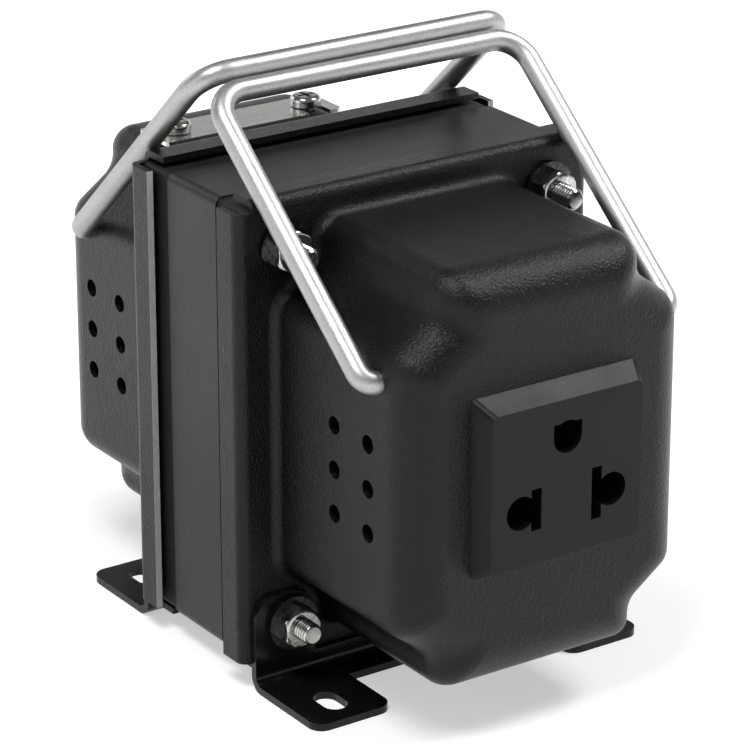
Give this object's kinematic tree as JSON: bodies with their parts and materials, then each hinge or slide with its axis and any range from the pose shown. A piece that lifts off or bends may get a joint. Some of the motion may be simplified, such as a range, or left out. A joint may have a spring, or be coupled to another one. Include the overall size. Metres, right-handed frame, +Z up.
{
  "type": "travel voltage converter",
  "caption": "Travel voltage converter: laminated core between two black drawn covers, output socket, selector guard, folding handles and slotted feet.",
  "frame": {"origin": "under the middle of the whole object at rest, on the surface that the feet stand on", "axes": "+X to the right as the socket is faced, +Y from the socket to the back, +Z up"},
  "size_m": [0.0748, 0.128, 0.1102],
  "materials": {
    "cover_paint": "fine textured powder coat",
    "foot_paint": "glossy black",
    "core_steel": "black varnish over stacked sheet edges",
    "band_steel": "smooth satin dark grey",
    "handle_steel": "satin nickel plate",
    "bright_fasteners": "bright nickel plate",
    "washer_steel": "zinc plate",
    "guard_nickel": "bright nickel plate",
    "socket_plastic": "satin black",
    "inner_plastic": "moulded",
    "knob_plastic": "satin red",
    "contact_brass": "bright",
    "winding_enamel": "enamelled copper",
    "insulating_film": "film",
    "cutout_case": "cream",
    "fuse_glass": "clear",
    "grommet_rubber": "matt",
    "lead_insulation": "PVC"
  },
  "bodies": {
    "chassis": {"front_cover": "cover_paint", "rear_cover": "cover_paint", "front_foot_rail": "foot_paint", "rear_foot_rail": "foot_paint", "core_e_laminations": "core_steel", "core_i_laminations": "core_steel", "core_band": "band_steel", "through_bolts": "bright_fasteners", "bolt_nuts": "bright_fasteners", "guard_screws": "bright_fasteners", "fuse_holder_nut": "bright_fasteners", "bolt_washers": "washer_steel", "socket_face": "socket_plastic", "fuse_holder_body": "socket_plastic", "socket_housing": "inner_plastic", "bobbin": "inner_plastic", "selector_body": "inner_plastic", "left_line_contact": "contact_brass", "right_line_contact": "contact_brass", "ground_contact": "contact_brass", "selector_tags": "contact_brass", "front_coil_tags": "contact_brass", "rear_coil_tags": "contact_brass", "fuse_terminal": "contact_brass", "primary_winding": "winding_enamel", "secondary_winding": "winding_enamel", "interlayer_film": "insulating_film", "winding_tape": "insulating_film", "thermal_cutout": "cutout_case", "cord_grommet": "grommet_rubber", "left_socket_lead": "lead_insulation", "right_socket_lead": "lead_insulation", "left_selector_lead": "lead_insulation", "right_selector_lead": "lead_insulation", "fuse_lead": "lead_insulation"},
    "front_handle": {"front_handle": "handle_steel"},
    "rear_handle": {"rear_handle": "handle_steel"},
    "guard_plate": {"guard_plate": "guard_nickel"},
    "selector_slider": {"selector_slider": "knob_plastic"},
    "fuse_cap": {"fuse_cap": "socket_plastic", "fuse": "fuse_glass"}
  },
  "joints": [
    {"name": "front_handle_swing", "type": "hinge", "parent": "chassis", "child": "front_handle", "pos_m": [0, -0.0506, 0.0675], "axis": [1, 0, 0], "range_deg": [0, 218]},
    {"name": "rear_handle_swing", "type": "hinge", "parent": "chassis", "child": "rear_handle", "pos_m": [0, 0.0432, 0.0675], "axis": [-1, 0, 0], "range_deg": [0, 212]},
    {"name": "guard_swing", "type": "hinge", "parent": "chassis", "child": "guard_plate", "pos_m": [-0.0143, 0.0377, 0.0844], "axis": [0, 0, 1], "range_deg": [0, 100]},
    {"name": "selector_slide", "type": "slide", "parent": "chassis", "child": "selector_slider", "axis": [1, 0, 0], "range_m": [0, 0.006]},
    {"name": "fuse_cap_turn", "type": "hinge", "parent": "chassis", "child": "fuse_cap", "pos_m": [0.012, 0.0553, 0.036], "axis": [0, 1, 0], "range_deg": [0, 90]}
  ]
}
